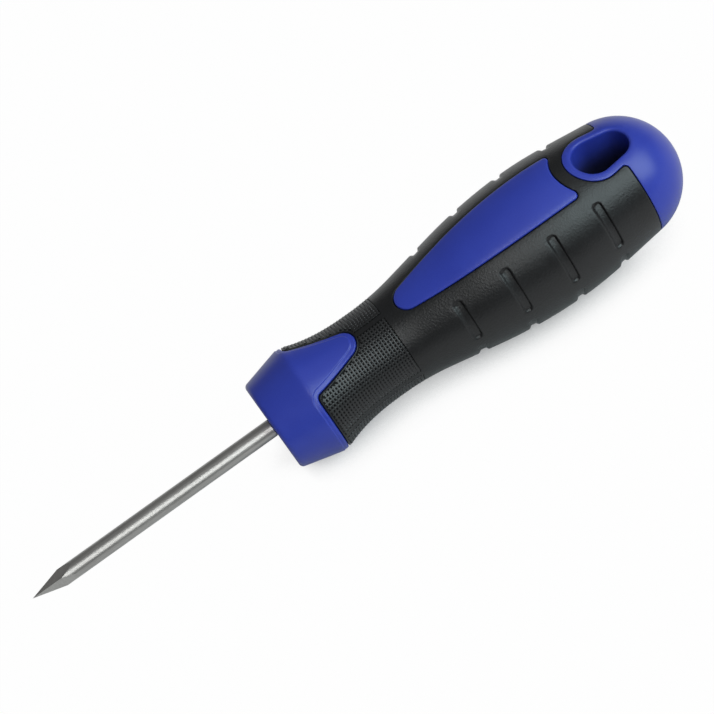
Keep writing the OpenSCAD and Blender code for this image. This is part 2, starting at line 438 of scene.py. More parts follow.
def place(name: str, mesh: bpy.types.Mesh, finish: "Finish", slot: Slot, *nodes: str) -> bpy.types.Object:
    """Puts a finished mesh on the tool.

    Args:
        name: Name of the piece.
        mesh: Its mesh in the frame.
        finish: Finish that it is dressed in.
        slot: Not used.
        nodes: CAD nodes that it stands for.

    Returns:
        The piece, riding on the frame.
    """
    piece = bpy.data.objects.new(name, mesh)
    bpy.context.scene.collection.objects.link(piece)
    mesh.materials.clear()
    mesh.materials.append(finish.material())
    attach(piece, "root")
    if nodes:
        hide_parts(*nodes)
    LOG.info("%s: %d faces", name, len(mesh.polygons))
    return piece


# Shape of the handle


@dataclass(frozen=True)
class HandleForm:
    """Turned form that the pieces of the handle share."""

    collar_len: float = 10.8
    seam_gap: float = 0.1
    lip_d: float = 25.3
    waist_x: float = 26.8
    waist_d: float = 20.6
    belly_x: float = 70.4
    belly_d: float = 31.2
    joint_x: float = 90.7
    joint_d: float = 27.456
    butt_x: float = 103.0
    hollow_power: float = 2.6
    flank_start: float = 0.26
    flank_end: float = 0.51
    wall: float = 2.0

    @property
    def dome_r(self) -> float:
        """Radius of the dome, a sphere through the joint's edge and the butt."""
        length = self.butt_x - self.joint_x
        return ((self.joint_d / 2) ** 2 + length**2) / (2 * length)

    @property
    def dome_x(self) -> float:
        """Middle of the dome's sphere."""
        return self.butt_x - self.dome_r

    def radius(self, x: Array) -> Array:
        """Radius of the grip and the dome.

        Args:
            x: Places along X.

        Returns:
            The radius at each.
        """
        waist, belly, joint = self.waist_d / 2, self.belly_d / 2, self.joint_d / 2
        lip_x = self.collar_len + self.seam_gap
        back = np.clip((self.waist_x - x) / (self.waist_x - lip_x), 0, None)
        hollow = waist + (self.lip_d / 2 - waist) * back**self.hollow_power
        t = np.clip((x - self.waist_x) / (self.belly_x - self.waist_x), 0, 1)
        a, b = self.flank_start, self.flank_end
        slope = 2 / (1 + b - a)
        late = 1 - slope * (1 - t) ** 2 / (2 - 2 * b)
        rise = np.where(t < a, slope * t * t / (2 * a), np.where(t < b, slope * (t - a / 2), late))
        run = self.joint_x - self.belly_x
        t = np.clip((x - self.belly_x) / run, 0, 1)
        lean = (self.dome_x - self.joint_x) / joint
        tail = belly + (joint - belly) * t * t * (3 - 2 * t) + lean * run * t * t * (t - 1)
        dome = np.sqrt(np.clip(self.dome_r**2 - (x - self.dome_x) ** 2, 0, None))
        places = [x < self.waist_x, x < self.belly_x, x < self.joint_x]
        return np.select(places, [hollow, waist + (belly - waist) * rise, tail], dome)


@dataclass(frozen=True)
class Seams:
    """Lines along which the pieces of the handle meet, each from the middle of an inlay round to the side."""

    form: HandleForm
    tongue_w: float = 14.1
    tongue_tip_x: float = 24.4
    tongue_tip_r: float = 3.3
    tongue_root_r: float = 1.7
    inlay_front_x: float = 35.3
    inlay_w: float = 13.4
    inlay_nose_r: float = 3.2
    inlay_corner_r: float = 1.0
    hole_front_x: float = 86.2
    hole_front_r: float = 4.4
    hole_rear_x: float = 90.8
    hole_rear_r: float = 3.6
    eye_wall: float = 1.9
    eye_band: float = 3.0
    eye_root_r: float = 1.0
    step: float = 0.3

    def _unroll(self, plan: Array, side_x: float | None = None) -> Array:
        """Lays a line seen from above onto the handle.

        Args:
            plan: Rows of [x, y].
            side_x: X at which the line goes on round to the side, if it does.

        Returns:
            Rows of [x, turn].
        """
        plan = densify(plan, self.step)
        turn = np.arcsin(np.clip(plan[:, 1] / self.form.radius(plan[:, 0]), 0, 1))
        line = np.stack([plan[:, 0], turn], 1)
        if side_x is not None:
            count = math.ceil((QUARTER - turn[-1]) * self.form.waist_d / 2 / self.step)
            rest = np.linspace(turn[-1], QUARTER, count + 1)[1:]
            line = np.concatenate([line, across(side_x, rest)])
        return line

    def tongue(self) -> Array:
        """Line between the collar and the grip, with the collar on its left.

        Returns:
            Rows of [x, turn].
        """
        edge_x, half = self.form.collar_len, self.tongue_w / 2
        r, root = self.tongue_tip_r, self.tongue_root_r
        middle = self.tongue_tip_x - r
        away = math.hypot(edge_x - middle, half)
        lean = math.degrees(math.atan2(half, edge_x - middle) - math.acos(r / away))
        nx, ny = math.cos(math.radians(lean)), math.sin(math.radians(lean))
        corner = (edge_x + root, half + root * (1 - nx) / ny)
        plan = [arc((middle, 0), r, 0, lean, self.step), arc(corner, root, 180 + lean, 180, self.step)]
        return self._unroll(np.concatenate(plan), edge_x)

    def inlay(self) -> Array:
        """Outline of an inlay from its nose to its rear edge, with the grip on its left.

        Returns:
            Rows of [x, turn].
        """
        belly, half = self.form.belly_x, self.inlay_w / 2
        r, corner_r = self.inlay_nose_r, self.inlay_corner_r
        nose = self.inlay_front_x + r
        run = belly - nose
        side_r = (run**2 + half**2 - r**2) / (2 * half - 2 * r)
        side = (belly, half - side_r)
        hollow_r = self.hole_front_r + self.eye_wall + self.eye_band
        corner = self._meeting(side, side_r - corner_r, (self.hole_front_x, 0.0), hollow_r + corner_r)
        side_end = math.degrees(math.atan2(corner[1] - side[1], corner[0] - side[0]))
        hollow_start = math.degrees(math.atan2(corner[1], corner[0] - self.hole_front_x))
        side_start = math.degrees(math.atan2(-side[1], nose - side[0]))
        plan = [
            arc((nose, 0), r, 180, side_start, self.step),
            arc(side, side_r, side_start, side_end, self.step),
            arc(corner, corner_r, side_end, hollow_start - 180, self.step / 2),
            arc((self.hole_front_x, 0), hollow_r, hollow_start, 180, self.step),
        ]
        return self._unroll(np.concatenate(plan))

    @staticmethod
    def _meeting(a: Pair, ra: float, b: Pair, rb: float) -> Pair:
        """Finds where two circles meet, on the upper left of the second.

        Args:
            a: Middle of the first circle.
            ra: Its radius.
            b: Middle of the second circle.
            rb: Its radius.

        Returns:
            The meeting point.
        """
        dx, dy = b[0] - a[0], b[1] - a[1]
        d = math.hypot(dx, dy)
        along = (ra**2 - rb**2 + d**2) / (2 * d)
        aside = math.sqrt(ra**2 - along**2)
        return a[0] + (along * dx - aside * dy) / d, a[1] + (along * dy + aside * dx) / d

    def eye(self) -> Array:
        """Line between the grip and the end cap, with the grip on its left.

        Returns:
            Rows of [x, turn].
        """
        lean, rise = self._hole_side()
        r, root, joint = self.hole_front_r + self.eye_wall, self.eye_root_r, self.form.joint_x
        corner_x = joint - root
        corner = (corner_x, (r + root - lean * (corner_x - self.hole_front_x)) / rise)
        side = math.degrees(math.atan2(rise, lean))
        plan = [
            arc((self.hole_front_x, 0), r, 180, side, self.step),
            arc(corner, root, side - 180, 0, self.step / 2),
        ]
        return self._unroll(np.concatenate(plan), joint)

    def hole(self) -> Array:
        """Outline of the hanging hole seen from above, with the cap on its left.

        Returns:
            Rows of [x, y].
        """
        side = math.degrees(math.atan2(*self._hole_side()[::-1]))
        plan = [
            arc((self.hole_front_x, 0), self.hole_front_r, 180, side, self.step),
            arc((self.hole_rear_x, 0), self.hole_rear_r, side, 0, self.step),
        ]
        return densify(np.concatenate(plan), self.step)

    def _hole_side(self) -> Pair:
        """Direction square to the tapered side of the hanging hole."""
        lean = (self.hole_front_r - self.hole_rear_r) / (self.hole_rear_x - self.hole_front_x)
        return lean, math.sqrt(1 - lean * lean)


# Pieces


@dataclass
class Blade:
    """Round bar with a four-sided point, and the tang and wings that hold it in the handle."""

    finish: "Finish"
    bar_d: float = 4.0
    bar_bevel: float = 0.15
    reach: float = 61.4
    point_len: float = 10.7
    ridge_turn: float = 32.8
    tang_start: float = 1.0
    tang_d: float = 3.6
    tang_len: float = 58.0
    tang_bevel: float = 0.4
    wing_w: float = 8.0
    wing_t: float = 1.6
    wing_start: float = 45.0
    wing_len: float = 7.0
    columns: int = 96
    first_row: float = 0.4
    bar_rows: int = 24
    tang_rows: int = 12
    sharp: float = 40.0

    def build(self) -> bpy.types.Object:
        """Builds the blade as one mesh from the point back, ring by ring.

        Returns:
            The dressed piece.
        """
        rings = self._rings()
        verts = np.concatenate([[[-self.reach, 0.0, 0.0]], *rings, [[self.tang_len, 0.0, 0.0]]])
        mesh = bpy.data.meshes.new("blade_bar")
        mesh.from_pydata((verts * MM).tolist(), [], self._faces(len(rings)))
        grid = bmesh.new()
        grid.from_mesh(mesh)
        for edge in grid.edges:
            edge.smooth = not self._is_ground_edge(*sorted(v.index for v in edge.verts))
        bmesh.ops.remove_doubles(grid, verts=grid.verts, dist=WELD / 2)
        bmesh.ops.recalc_face_normals(grid, faces=grid.faces)
        for edge in grid.edges:
            edge.smooth &= edge.calc_face_angle(0) < math.radians(self.sharp)
        for face in grid.faces:
            face.smooth = True
        grid.to_mesh(mesh)
        grid.free()
        return place("blade_bar", mesh, self.finish, Slot.STEEL, "blade")

    def _rings(self) -> list[Array]:
        """Works out the rings of points from the edge of the flats to the end of the tang.

        Returns:
            Rows of [x, y, z] in millimetres for each ring.
        """
        turn = math.radians(self.ridge_turn) + np.arange(self.columns) * 2 * math.pi / self.columns
        bar, tang = self.bar_d / 2, self.tang_d / 2
        from_ridge = np.mod(turn - turn[0], QUARTER) - QUARTER / 2
        rings = [self._ring(-self.reach + self.point_len * np.cos(from_ridge), bar, turn)]
        first = -self.reach + self.point_len + self.first_row
        rings += [self._ring(x, bar, turn) for x in np.linspace(first, -self.bar_bevel, self.bar_rows)]
        rings += [self._ring(0.0, r, turn) for r in (bar - self.bar_bevel, tang)]
        plain = np.linspace(self.tang_start, self.wing_start, self.tang_rows)
        rings += [self._ring(x, tang, turn) for x in plain]
        y, z = np.abs(np.sin(turn)) + TINY**2, np.abs(np.cos(turn)) + TINY**2
        winged = np.maximum(tang, np.minimum(self.wing_w / 2 / y, self.wing_t / 2 / z))
        wing_end = self.wing_start + self.wing_len
        rings += [self._ring(x, winged, turn) for x in (self.wing_start, wing_end)]
        rings += [self._ring(x, tang, turn) for x in (wing_end, self.tang_len - self.tang_bevel)]
        return [*rings, self._ring(self.tang_len, tang - self.tang_bevel, turn)]

    def _faces(self, rings: int) -> list[list[int]]:
        """Joins the point, the rings and the end of the tang.

        Args:
            rings: How many rings there are.

        Returns:
            Rows of numbers of vertices, of which the point is the first.
        """
        n, last = self.columns, 1 + rings * self.columns
        pairs = [(j, (j + 1) % n) for j in range(n)]
        faces = [[0, 1 + i, 1 + j] for i, j in pairs]
        for a in range(1, last - n, n):
            faces += [[a + i, a + n + i, a + n + j, a + j] for i, j in pairs]
        return faces + [[last - n + i, last, last - n + j] for i, j in pairs]

    def _is_ground_edge(self, a: int, b: int) -> bool:
        """Tells whether an edge, by the numbers of its ends, borders one of the four flats."""
        on_ridge = a == 0 and (b - 1) % (self.columns // 4) == 0
        return on_ridge or 1 <= a and b <= self.columns

    @staticmethod
    def _ring(x: float | Array, r: float | Array, turn: Array) -> Array:
        """Ring of points about the axis, at one place and radius or at those of each point."""
        return np.stack([np.broadcast_to(x, turn.shape), -r * np.sin(turn), r * np.cos(turn)], 1)


@dataclass
class FrontCollar:
    """Cone that carries the blade, with a tongue on each side that runs back over the waist."""

    form: HandleForm
    seams: Seams
    finish: "Finish"
    front_d: float = 20.7
    rear_d: float = 26.2
    front_round: float = 1.1
    bore_r: float = 1.9
    tongue_proud: float = 0.2
    ridge_blend: float = 0.3
    wall: float = 1.8
    rim: EdgeRound = EdgeRound(0.5, 0.5)
    border_w: float = 1.3
    step_w: float = 0.3
    step_drop: float = 0.2
    border_drop: float = 0.06
    edge: EdgeRound = EdgeRound(0.3, 0.4)
    side_turns: Pair = (0.58, 0.76)
    least_wall: float = 0.02
    step_rows: tuple[float, ...] = (-1.5, -1, -0.75, -0.5, -0.25, 0, 0.4)
    corner_span: float = 1.4
    corner_rows: int = 6
    corner_columns: int = 40
    face_rows: int = 20
    round_rows: int = 12
    curve_step: float = 0.05
    curve_margin: float = 1.0
    net_margin: float = 0.5
    net_step: float = 0.6
    net_r: float = 10.0

    def build(self) -> bpy.types.Object:
        """Builds the collar and both its tongues.

        Returns:
            The dressed piece.
        """
        curve, cone = self._curve()
        seam = curve.along(self.seams.tongue(), cone)
        step = [self.border_w + self.step_w * share for share in self.step_rows]
        gaps = sorted({*self.rim.rows(), *self.edge.rows(), *step})
        rows = [shift(seam, gap, curve.radius) for gap in gaps]
        corner = curve.run[cone]
        turns = np.linspace(0, QUARTER, self.corner_columns)
        rows += [across(u, turns) for u in np.linspace(corner - self.corner_span, corner, self.corner_rows)]
        net = Net(rows, (0.0, float(seam[:, 0].max()) + self.net_margin), self.net_step, self.net_r)
        outline = np.concatenate([seam, [[0.0, QUARTER], [0.0, 0.0]]])
        kept = net.triangles[inside(net.middles(), outline)]
        gap, stretch = distance(net.flat, seam, curve.radius)
        u, turn = net.flat.T
        x, r = curve.reach(u), curve.radius(u)
        share = (r - self.bore_r) / (self.front_d / 2 - self.bore_r)
        depth = self.wall * np.clip(share, self.least_wall, 1)
        solid = Solid()
        outer = round_about(x, r - self._drop(gap, seam[stretch, 1]), turn)
        inner = round_about(np.maximum(x, self.wall * x.max() / (x.max() + x)), r - depth, turn)
        solid.shell(net, kept, outer, inner)
        mesh = solid.mesh("collar_shell", ALL_QUARTERS)
        return place("collar_shell", mesh, self.finish, Slot.BLUE, "front_collar")

    def _curve(self) -> tuple[Curve, int]:
        """Works out the curve that the collar is turned from: front face, round corner, cone and tongue.

        Returns:
            The curve, and the number of its place where the cone starts.
        """
        lean = math.atan((self.rear_d - self.front_d) / (2 * self.form.collar_len))
        slope, r = math.tan(lean), self.front_round
        middle = self.front_d / 2 + slope * r - r / math.cos(lean)
        face = np.linspace(self.bore_r, middle, self.face_rows)
        angle = np.linspace(math.pi, QUARTER + lean, self.round_rows)[1:]
        start = r * (1 + math.cos(angle[-1])) + self.curve_step
        x = np.arange(start, self.seams.tongue_tip_x + self.curve_margin, self.curve_step)
        cone = self.front_d / 2 + slope * x
        top = self.form.radius(x) + self.tongue_proud
        ridge = (cone + top - np.sqrt((cone - top) ** 2 + self.ridge_blend**2)) / 2
        curve_x = np.concatenate([np.zeros_like(face), r * (1 + np.cos(angle)), x])
        curve_r = np.concatenate([face, middle + r * np.sin(angle), ridge])
        return Curve(curve_x, curve_r), len(face) + len(angle)

    def _drop(self, gap: Array, seam_turn: Array) -> Array:
        """Drop of the surface near its edge: a stepped border all along it, with a rounder rim at the sides.

        Args:
            gap: Distance from the edge.
            seam_turn: Turn of the nearest place on the edge.

        Returns:
            Drop in millimetres.
        """
        step = self.step_drop * (1 - smooth(self.border_w - self.step_w, self.border_w, gap))
        border = self.border_drop * np.clip(1 - gap / (self.border_w - self.step_w), 0, 1)
        side = smooth(*self.side_turns, seam_turn)
        return step + border + self.edge.drop(gap) * (1 - side) + self.rim.drop(gap) * side


@dataclass
class GripSleeve:
    """Soft sleeve over the core, with windows for the hard pieces, rows of finger slots and a knurled waist."""

    form: HandleForm
    seams: Seams
    finish: "Finish"
    slot_first_x: float = 45.5
    slot_pitch: float = 11.6
    slot_count: int = 4
    slot_turn: float = 60.0
    slot_span: float = 46.0
    slot_w: float = 2.1
    slot_end_r: float = 0.85
    slot_depth: float = 0.55
    knurl_end: float = 31.9
    knurl_sink: float = 0.3
    strip_half: float = 0.55
    lip_strip: float = 0.4
    knurl_ramp: float = 0.16
    lip: EdgeRound = EdgeRound(0.45, 0.5)
    window: EdgeRound = EdgeRound(0.3, 0.3)
    slot_front: Pair = (0.3, -0.7)
    slot_rear: Pair = (0.14, -0.28)
    slot_blend: float = 0.7
    slot_rings: tuple[float, ...] = (0.3, 0.16, 0.06, -0.03, -0.12, -0.24, -0.4, -0.62)
    slot_steps: Pair = (0.16, 0.35)
    knurl_edge: float = 0.12
    knurl_columns: int = 60
    strip_ends: Pair = (0.8, 0.3)
    strip_step: float = 0.4
    net_margin: float = 0.5
    net_step: float = 0.75
    net_r: float = 13.0

    def build(self) -> bpy.types.Object:
        """Builds the sleeve, marks the room for the knurl and marks where painted shade falls under it.

        Returns:
            The dressed piece.
        """
        form, gap = self.form, self.form.seam_gap
        front = shift(self.seams.tongue(), -gap, form.radius)
        panel = shift(self.seams.inlay(), gap, form.radius)
        rear = shift(self.seams.eye(), gap, form.radius)
        lip_rows = [*self.lip.rows(), self.lip_strip + self.knurl_ramp]
        lines = [shift(front, -d, form.radius) for d in lip_rows]
        lines += [shift(line, d, form.radius) for line in (panel, rear) for d in self.window.rows()]
        lines += self._slot_lines() + self._knurl_lines()
        ends = (form.collar_len - self.net_margin, form.joint_x + self.net_margin)
        net = Net(lines, ends, self.net_step, self.net_r)
        middle = net.middles()
        gone = inside(middle, panel)
        for line, end in ((front, ends[0]), (rear, ends[1])):
            gone |= inside(middle, np.concatenate([line, [[end, QUARTER], [end, 0.0]]]))
        kept = net.triangles[~gone]
        x, turn = net.flat.T
        lip_gap = distance(net.flat, front, form.radius)[0]
        drop = self.lip.drop(lip_gap) + self._slot_drop(net.flat)
        for line in (panel, rear):
            drop += self.window.drop(distance(net.flat, line, form.radius)[0])
        room = self._knurl_room(net.flat, lip_gap)
        recess = smooth(0.0, self.knurl_ramp, room)
        drop += self.knurl_sink * recess
        r = form.radius(x)
        solid = Solid()
        solid.shell(net, kept, round_about(x, r - drop, turn), round_about(x, r - form.wall, turn))
        # The recess mark paints shade on the sleeve under the knurl, between its ribs
        marks = {Mark.ROOM: np.tile(room, 2), Mark.RECESS: np.tile(recess, 2)}
        mesh = solid.mesh("grip_skin", ALL_QUARTERS, marks)
        return place("grip_skin", mesh, self.finish, Slot.GRIP, "grip_sleeve")

    def _slot_places(self) -> list[Triple]:
        """Works out where the slots lie.

        Returns:
            X of each slot's middle, its half length and the radius there.
        """
        places = []
        for i in range(self.slot_count):
            x = self.slot_first_x + i * self.slot_pitch
            r = float(self.form.radius(np.array([x]))[0])
            places.append((x, r * math.radians(self.slot_span) / 2, r))
        return places

    def _slot_lines(self) -> list[Array]:
        """Draws lines round each slot, from its outer edge in to its floor.

        Returns:
            Rows of [x, turn] for each line.
        """
        lines, r = [], self.slot_end_r
        for x, half, radius in self._slot_places():
            a, b = self.slot_w / 2 - r, half - r
            corners = list(enumerate(((a, b), (-a, b), (-a, -b), (a, -b))))
            for grow in self.slot_rings:
                arcs = [arc(spot, r + grow, 90 * i, 90 * i + 90, self.slot_steps[0]) for i, spot in corners]
                ring = densify(np.concatenate([*arcs, arcs[0][:1]]), self.slot_steps[1])
                lines.append(ring / [1, radius] + [x, math.radians(self.slot_turn)])
        return lines

    def _slot_drop(self, flat: Array) -> Array:
        """Depth of the slots: a soft front edge, a flat floor and a steep rear wall.

        Args:
            flat: Rows of [x, turn].

        Returns:
            Depth of each place in millimetres.
        """
        depth = np.zeros(len(flat))
        for x, half, radius in self._slot_places():
            dx = flat[:, 0] - x
            dy = (flat[:, 1] - math.radians(self.slot_turn)) * radius
            qx = np.abs(dx) - self.slot_w / 2 + self.slot_end_r
            qy = np.abs(dy) - half + self.slot_end_r
            out = np.hypot(np.maximum(qx, 0), np.maximum(qy, 0)) - self.slot_end_r
            out += np.minimum(np.maximum(qx, qy), 0)
            rear = smooth(-self.slot_blend, self.slot_blend, dx)
            start, floor = (a + (b - a) * rear for a, b in zip(self.slot_front, self.slot_rear))
            depth = np.maximum(depth, self.slot_depth * smooth(0, 1, (start - out) / (start - floor)))
        return depth

    def _knurl_lines(self) -> list[Array]:
        """Draws lines along the knurl's rear end and beside the plain strips in it.

        Returns:
            Rows of [x, turn] for each line.
        """
        turns = np.linspace(0, QUARTER, self.knurl_columns)
        lines = [across(self.knurl_end + by, turns) for by in (-self.knurl_ramp, 0, self.knurl_edge)]
        before, behind = self.strip_ends
        for front, base, sign in ((self.seams.tongue_tip_x, 0.0, 1), (self.form.collar_len, QUARTER, -1)):
            x = np.arange(front + before, self.knurl_end - behind, self.strip_step)
            for half in (self.strip_half, self.strip_half + self.knurl_ramp):
                lines.append(np.stack([x, base + sign * half / self.form.radius(x)], 1))
        return lines

    def _knurl_room(self, flat: Array, lip_gap: Array) -> Array:
        """Distance from each place to the border of the knurl, above zero inside it.

        Args:
            flat: Rows of [x, turn].
            lip_gap: Distance of each from the grip's front edge.

        Returns:
            Distance in millimetres.
        """
        r = self.form.radius(flat[:, 0])
        strip = np.minimum(flat[:, 1], QUARTER - flat[:, 1]) * r - self.strip_half
        return np.minimum.reduce([self.knurl_end - flat[:, 0], strip, lip_gap - self.lip_strip])


@dataclass
class Knurl:
    """Fine ribs round the waist with lower bars between them, made by a Geometry Nodes tree on the sleeve."""

    finish: "Finish"
    sizes: dict[str, float] = field(default_factory=lambda: {
        "First Rib": 11.75 * MM, "Rib Pitch": 0.755 * MM, "Rib Width": 0.7 * MM, "Rib Height": 0.34 * MM,
        "Bar Width": 0.68 * MM, "Bar Height": 0.28 * MM, "Tooth Pitch": 0.86 * MM, "Bow": 3.6,
    })
    ribs: int = 27
    teeth: int = 84
    far: float = 20.0
    least_room: float = 0.2
    overlap: float = 1.02
    bow_columns: int = 5

    def build(self, sleeve: bpy.types.Object) -> bpy.types.Object:
        """Grows the knurl on the sleeve and turns it into a plain mesh.

        Args:
            sleeve: The finished sleeve, with its room marked.

        Returns:
            The dressed piece.
        """
        tree = self._tree()
        seed = bpy.data.objects.new("knurl_seed", bpy.data.meshes.new("knurl_seed"))
        bpy.context.scene.collection.objects.link(seed)
        modifier = seed.modifiers.new("Knurl", "NODES")
        modifier.node_group = tree
        named = {item.name: item.identifier for item in tree.interface.items_tree if item.in_out == "INPUT"}
        counts = {"Ribs": self.ribs, "Teeth": self.teeth}
        values = {**self.sizes, **counts, "Sleeve": sleeve, "Finish": self.finish.material()}
        for name, value in values.items():
            modifier[named[name]] = value
        bpy.context.view_layer.update()
        ready = seed.evaluated_get(bpy.context.evaluated_depsgraph_get())
        mesh = bpy.data.meshes.new_from_object(ready)
        bpy.data.objects.remove(seed)
        for layer in [a for a in mesh.attributes if a.name == "facing"]:
            mesh.attributes.remove(layer)
        mesh.name = "grip_knurl"
        return place("grip_knurl", mesh, self.finish, Slot.GRIP)

    def _tree(self) -> bpy.types.NodeTree:
        """Builds the node tree: a lattice of points dropped onto the sleeve, with a cell of ribs at each.

        Returns:
            The tree.
        """
        graph = Graph(bpy.data.node_groups.new("Knurl", "GeometryNodeTree"))
        kinds = {**dict.fromkeys(self.sizes, "Float"), "Ribs": "Int", "Teeth": "Int"}
        for name, kind in {**kinds, "Sleeve": "Object", "Finish": "Material"}.items():
            graph.tree.interface.new_socket(name, in_out="INPUT", socket_type="NodeSocket" + kind)
        graph.tree.interface.new_socket("Geometry", in_out="OUTPUT", socket_type="NodeSocketGeometry")
        given = graph.node("NodeGroupInput").outputs
        size = {name: Value(graph, given[name]) for name in kinds}
        length = size["Rib Pitch"] * (size["Ribs"] - 1)
        girth = 2 * math.pi - 2 * math.pi / size["Teeth"]
        lattice = graph.node("GeometryNodeMeshGrid", {
            "Size X": length, "Size Y": girth, "Vertices X": given["Ribs"], "Vertices Y": given["Teeth"]})
        points = graph.node("GeometryNodeMeshToPoints", {"Mesh": lattice.outputs["Mesh"]})
        x, turn, _ = graph.axes(graph.node("GeometryNodeInputPosition"))
        start = graph.node("ShaderNodeCombineXYZ", {
            "X": x + length / 2 + size["First Rib"],
            "Y": turn.sine() * (self.far * MM), "Z": turn.cosine() * (self.far * MM)})
        points = graph.node("GeometryNodeSetPosition", {
            "Geometry": points.outputs["Points"], "Position": start})
        hit = self._drop_onto(graph, given["Sleeve"])
        room = Value(graph, hit.outputs["Attribute"])
        lost = 1 - Value(graph, hit.outputs["Is Hit"]) * room.above(self.least_room)
        points = graph.node("GeometryNodeDeleteGeometry", {
            "Geometry": points, "Selection": lost.above(0.5)}, domain="POINT")
        points = graph.node("GeometryNodeStoreNamedAttribute", {
            "Geometry": points, "Name": "facing", "Value": hit.outputs["Hit Normal"],
        }, data_type="FLOAT_VECTOR", domain="POINT")
        points = graph.node("GeometryNodeSetPosition", {
            "Geometry": points, "Position": hit.outputs["Hit Position"]})
        facing = graph.node("GeometryNodeInputNamedAttribute", {"Name": "facing"}, data_type="FLOAT_VECTOR")
        rotation = graph.node("FunctionNodeAxesToRotation", {
            "Primary Axis": facing, "Secondary Axis": (1, 0, 0)}, primary_axis="Z", secondary_axis="X")
        cell = graph.node("GeometryNodeJoinGeometry")
        for kind, pitch, along in (("Bar", "Rib Pitch", True), ("Rib", "Tooth Pitch", False)):
            width, height = size[kind + " Width"], size[kind + " Height"]
            part = self._bar(graph, width, size[pitch], height, size["Bow"], along)
            graph.tree.links.new(part, cell.inputs[0])
        cells = graph.node("GeometryNodeInstanceOnPoints", {
            "Points": points, "Instance": cell, "Rotation": rotation})
        real = graph.node("GeometryNodeRealizeInstances", {0: cells})
        dressed = graph.node("GeometryNodeSetMaterial", {"Geometry": real, "Material": given["Finish"]})
        graph.node("NodeGroupOutput", {0: dressed})
        return graph.tree

    def _drop_onto(self, graph: "Graph", sleeve: Socket) -> bpy.types.Node:
        """Drops each point straight towards the axis onto the sleeve.

        Args:
            graph: Tree to add to.
            sleeve: Socket that gives the sleeve.

        Returns:
            The ray cast, which also reads the room for the knurl.
        """
        target = graph.node("GeometryNodeObjectInfo", {"Object": sleeve}, transform_space="ORIGINAL")
        room = graph.node("GeometryNodeInputNamedAttribute", {"Name": Mark.ROOM.value}, data_type="FLOAT")
        here = graph.node("GeometryNodeInputPosition")
        inwards = graph.node("ShaderNodeVectorMath", {0: here, 1: (0, -1, -1)}, operation="MULTIPLY")
        return graph.node("GeometryNodeRaycast", {
            "Target Geometry": target.outputs["Geometry"], "Attribute": room,
            "Ray Direction": inwards, "Ray Length": self.far * MM}, data_type="FLOAT")

    def _bar(
        self, graph: "Graph", width: "Value", length: "Value", height: "Value", bow: "Value", along: bool
    ) -> Socket:
        """Builds a bar with a bowed top that stands half in the surface.

        Args:
            graph: Tree to add to.
            width: Width at its foot.
            length: Length.
            height: Height above the surface.
            bow: Power of the bow, where 2 is a parabola.
            along: Whether it lies along the tool or round it.

        Returns:
            Socket that gives the bar.
        """
        sides = (length * self.overlap, width) if along else (width, length * self.overlap)
        size = graph.node("ShaderNodeCombineXYZ", {"X": sides[0], "Y": sides[1], "Z": height * 2})
        columns = "Vertices Y" if along else "Vertices X"
        box = graph.node("GeometryNodeMeshCube", {"Size": size, columns: self.bow_columns})
        x, y, z = graph.axes(graph.node("GeometryNodeInputPosition"))
        share = (y if along else x) * 2 / width
        top = z * (1 - z.above(0.0) * (share * share) ** (bow / 2))
        moved = graph.node("ShaderNodeCombineXYZ", {"X": x, "Y": y, "Z": top})
        bowed = graph.node("GeometryNodeSetPosition", {"Geometry": box.outputs["Mesh"], "Position": moved})
        return bowed.outputs[0]


@dataclass
class PanelInlay:
    """Hard inlay that lies in a window of the sleeve."""

    form: HandleForm
    seams: Seams
    finish: "Finish"
    side: Side
    proud: float = 0.1
    edge: EdgeRound = EdgeRound(0.35, 0.4)
    net_margin: float = 0.5
    net_step: float = 0.75
    net_r: float = 14.0

    def build(self) -> bpy.types.Object:
        """Builds the inlay as a plate that follows the grip.

        Returns:
            The dressed piece.
        """
        form, line = self.form, self.seams.inlay()
        rows = [shift(line, -gap, form.radius) for gap in self.edge.rows()]
        ends = (float(line[:, 0].min()) - self.net_margin, float(line[:, 0].max()) + self.net_margin)
        net = Net(rows, ends, self.net_step, self.net_r)
        kept = net.triangles[inside(net.middles(), line)]
        x, turn = net.flat.T
        r = form.radius(x)
        drop = self.edge.drop(distance(net.flat, line, form.radius)[0])
        outer = round_about(x, r + self.proud - drop, turn)
        solid = Solid()
        solid.shell(net, kept, outer, round_about(x, r + form.seam_gap - form.wall, turn))
        name, z = "inlay_" + self.side.name.lower(), self.side.value
        mesh = solid.mesh(name, [(1, z), (-1, z)])
        return place(name, mesh, self.finish, Slot.BLUE, "panel_" + name)


